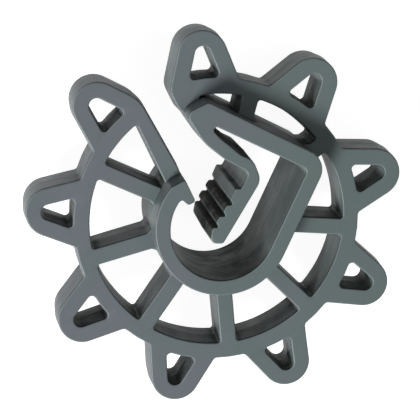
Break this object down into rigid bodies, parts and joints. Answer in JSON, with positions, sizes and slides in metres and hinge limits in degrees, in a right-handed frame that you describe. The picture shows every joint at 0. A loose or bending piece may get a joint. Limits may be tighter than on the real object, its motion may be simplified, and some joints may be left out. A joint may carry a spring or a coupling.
{
  "type": "rebar wheel spacer",
  "caption": "Clip-on wheel spacer for reinforcing bar: lobed rim with hollow lobes on spokes round a bar seat, with a toothed spring jaw behind an open throat.",
  "frame": {"origin": "middle of the outline on the hub's back face", "axes": "+Z along the wheel's axis out of the hub's front face, +Y out through the throat"},
  "size_m": [0.0986, 0.0974, 0.0314],
  "materials": {
    "grey_plastic": "satin moulded blue-grey polypropylene"
  },
  "bodies": {
    "root": {"wheel_spacer": "grey_plastic"}
  },
  "joints": []
}
